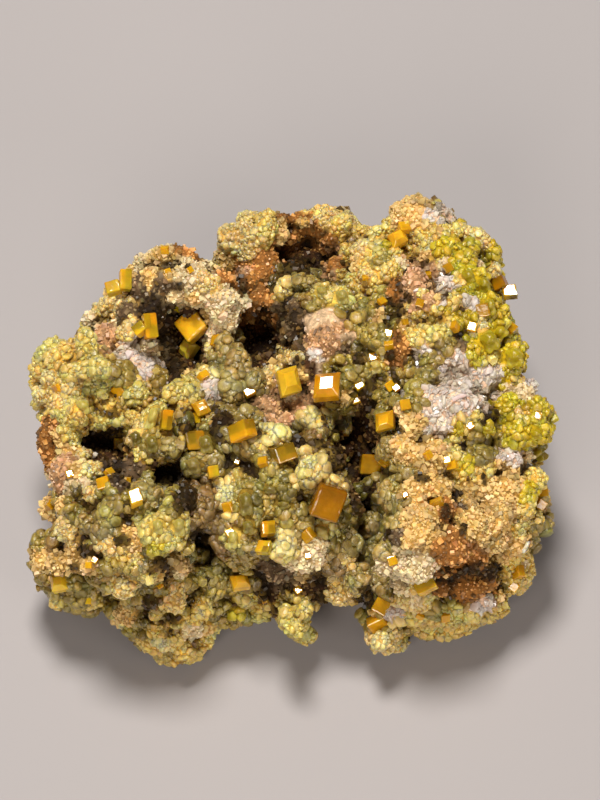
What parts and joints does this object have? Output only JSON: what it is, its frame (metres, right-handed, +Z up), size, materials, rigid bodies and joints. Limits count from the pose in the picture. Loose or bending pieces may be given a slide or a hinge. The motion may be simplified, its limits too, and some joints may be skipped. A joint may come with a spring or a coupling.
{
  "type": "pyromorphite specimen",
  "caption": "Knobby matrix of rusty limonite and quartz with pits and a deep cleft, crusted with green pyromorphite and set with blocky honey-coloured wulfenite crystals.",
  "frame": {"origin": "centre of the bounding box in plan, at the height of the flat back it lies on", "axes": "+Z up, away from the flat back; +X to the right and +Y to the back as seen by someone looking down at the crystal side"},
  "size_m": [0.0525, 0.0474, 0.0261],
  "materials": {
    "matrix": "rough",
    "pyromorphite": "waxy",
    "wulfenite": "glossy"
  },
  "bodies": {
    "root": {"limonite_quartz_matrix": "matrix", "pyromorphite_cluster_front_toe": "pyromorphite", "pyromorphite_cluster_hanging": "pyromorphite", "pyromorphite_cluster_left_disc": "pyromorphite", "pyromorphite_cluster_left_shoulder": "pyromorphite", "pyromorphite_cluster_lime": "pyromorphite", "pyromorphite_cluster_middle": "pyromorphite", "pyromorphite_cluster_right_point": "pyromorphite", "pyromorphite_cluster_right_shoulder": "pyromorphite", "wulfenite_amber_block": "wulfenite", "wulfenite_centre_olive": "wulfenite", "wulfenite_centre_small": "wulfenite", "wulfenite_cleft": "wulfenite", "wulfenite_cleft_upper": "wulfenite", "wulfenite_front_edge": "wulfenite", "wulfenite_front_left": "wulfenite", "wulfenite_front_low": "wulfenite", "wulfenite_ledge_large": "wulfenite", "wulfenite_ledge_pair": "wulfenite", "wulfenite_ledge_small": "wulfenite", "wulfenite_left_bead": "wulfenite", "wulfenite_left_foot": "wulfenite", "wulfenite_left_low": "wulfenite", "wulfenite_left_middle": "wulfenite", "wulfenite_left_tall": "wulfenite", "wulfenite_middle_bright": "wulfenite", "wulfenite_middle_tilted": "wulfenite", "wulfenite_middle_yellow": "wulfenite", "wulfenite_right_edge": "wulfenite", "wulfenite_right_lower": "wulfenite", "wulfenite_right_top": "wulfenite", "wulfenite_right_upper": "wulfenite", "wulfenite_top_left_pair": "wulfenite"}
  },
  "joints": []
}
